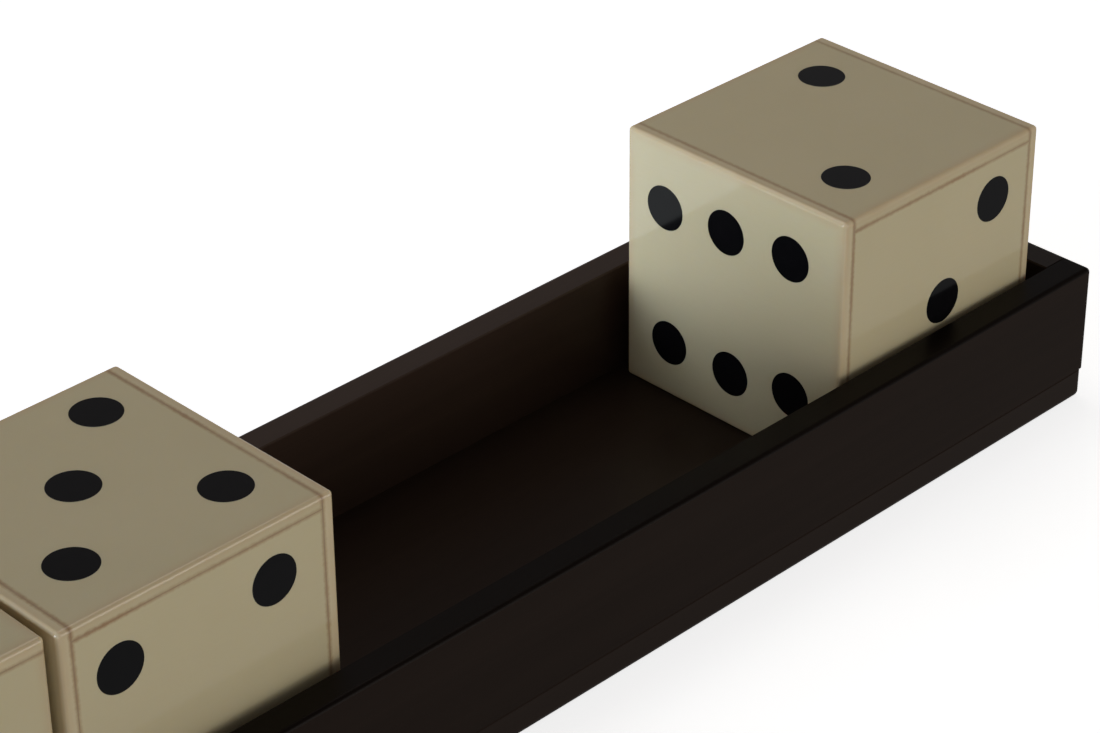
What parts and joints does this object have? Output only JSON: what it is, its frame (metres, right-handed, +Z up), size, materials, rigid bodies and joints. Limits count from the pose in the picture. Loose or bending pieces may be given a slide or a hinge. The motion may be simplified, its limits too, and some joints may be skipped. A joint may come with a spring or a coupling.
{
  "type": "giant dice in a wooden tray",
  "caption": "Large ivory-coloured dice with inlaid black pips, faced in glued panels, standing in a long dark wooden tray from which each die lifts out.",
  "frame": {"origin": "middle of the tray's underside, on the surface it stands on", "axes": "+X along the tray, +Y across it, +Z up"},
  "size_m": [0.508, 0.1182, 0.1004],
  "materials": {
    "ivory_resin": "polished, faintly mottled",
    "black_resin": "polished",
    "tray_wood": "dark stain under a satin lacquer",
    "core_wood": "plain",
    "dowel_wood": "plain",
    "screw_steel": "plain"
  },
  "bodies": {
    "tray": {"tray_base": "tray_wood", "near_wall": "tray_wood", "far_wall": "tray_wood", "right_end_wall": "tray_wood", "left_end_wall": "tray_wood", "corner_dowels": "dowel_wood", "base_screws": "screw_steel"},
    "die_1": {"die_1_core": "core_wood", "die_1_panel_one": "ivory_resin", "die_1_panel_two": "ivory_resin", "die_1_panel_three": "ivory_resin", "die_1_panel_four": "ivory_resin", "die_1_panel_five": "ivory_resin", "die_1_panel_six": "ivory_resin", "die_1_pips_one": "black_resin", "die_1_pips_two": "black_resin", "die_1_pips_three": "black_resin", "die_1_pips_four": "black_resin", "die_1_pips_five": "black_resin", "die_1_pips_six": "black_resin"},
    "die_2": {"die_2_core": "core_wood", "die_2_panel_one": "ivory_resin", "die_2_panel_two": "ivory_resin", "die_2_panel_three": "ivory_resin", "die_2_panel_four": "ivory_resin", "die_2_panel_five": "ivory_resin", "die_2_panel_six": "ivory_resin", "die_2_pips_one": "black_resin", "die_2_pips_two": "black_resin", "die_2_pips_three": "black_resin", "die_2_pips_four": "black_resin", "die_2_pips_five": "black_resin", "die_2_pips_six": "black_resin"},
    "die_3": {"die_3_core": "core_wood", "die_3_panel_one": "ivory_resin", "die_3_panel_two": "ivory_resin", "die_3_panel_three": "ivory_resin", "die_3_panel_four": "ivory_resin", "die_3_panel_five": "ivory_resin", "die_3_panel_six": "ivory_resin", "die_3_pips_one": "black_resin", "die_3_pips_two": "black_resin", "die_3_pips_three": "black_resin", "die_3_pips_four": "black_resin", "die_3_pips_five": "black_resin", "die_3_pips_six": "black_resin"}
  },
  "joints": [
    {"name": "die_1_lift", "type": "slide", "parent": "tray", "child": "die_1", "axis": [0, 0, 1], "range_m": [0, 0.12]},
    {"name": "die_2_lift", "type": "slide", "parent": "tray", "child": "die_2", "axis": [0, 0, 1], "range_m": [0, 0.12]},
    {"name": "die_3_lift", "type": "slide", "parent": "tray", "child": "die_3", "axis": [0, 0, 1], "range_m": [0, 0.12]}
  ]
}
